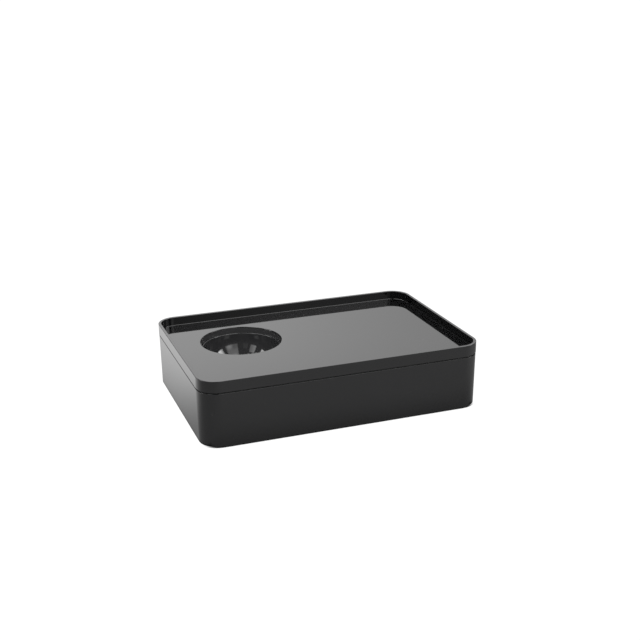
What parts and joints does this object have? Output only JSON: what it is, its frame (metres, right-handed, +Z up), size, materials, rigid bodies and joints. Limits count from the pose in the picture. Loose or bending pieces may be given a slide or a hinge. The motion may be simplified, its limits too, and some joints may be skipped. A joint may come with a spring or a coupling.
{
  "type": "espresso knock box",
  "caption": "Low rectangular box with rounded corners, a lift-off tray lid and a round chute over a lift-out bowl with a rubber knock bar.",
  "frame": {"origin": "middle of the footprint, on the surface that the feet stand on", "axes": "+X along the long side with the chute on the -X side, -Y the front, +Z up"},
  "size_m": [0.3, 0.2034, 0.0692],
  "materials": {
    "box_plastic": "high-gloss moulded black",
    "tray_plastic": "high-gloss moulded black",
    "bowl_plastic": "high-gloss moulded black",
    "divider_plastic": "satin moulded black",
    "mat_rubber": "ribbed matt rubber",
    "cushion_rubber": "matt rubber",
    "foot_rubber": "matt rubber",
    "gasket_silicone": "satin silicone",
    "sleeve_rubber": "matt rubber",
    "cap_rubber": "matt rubber",
    "rod_steel": "brushed",
    "screw_steel": "turned"
  },
  "bodies": {
    "box": {"base_box": "box_plastic", "storage_divider": "divider_plastic", "storage_mat": "mat_rubber", "bowl_cushion_ring": "cushion_rubber", "foot_front_left": "foot_rubber", "foot_front_right": "foot_rubber", "foot_rear_left": "foot_rubber", "foot_rear_right": "foot_rubber", "foot_screw_front_left": "screw_steel", "foot_screw_front_right": "screw_steel", "foot_screw_rear_left": "screw_steel", "foot_screw_rear_right": "screw_steel"},
    "tray_lid": {"tray": "tray_plastic", "tray_gasket": "gasket_silicone", "chute_seal": "gasket_silicone"},
    "bowl": {"waste_bowl": "bowl_plastic"},
    "knock_bar": {"knock_bar_rod": "rod_steel", "knock_bar_sleeve": "sleeve_rubber", "bar_end_cap_left": "cap_rubber", "bar_end_cap_right": "cap_rubber"}
  },
  "joints": [
    {"name": "tray_lift", "type": "slide", "parent": "box", "child": "tray_lid", "axis": [0, 0, 1], "range_m": [0, 0.1]},
    {"name": "bowl_lift", "type": "slide", "parent": "box", "child": "bowl", "axis": [0, 0, 1], "range_m": [0, 0.1]},
    {"name": "bar_lift", "type": "slide", "parent": "bowl", "child": "knock_bar", "axis": [0, 0, 1], "range_m": [0, 0.06]}
  ]
}
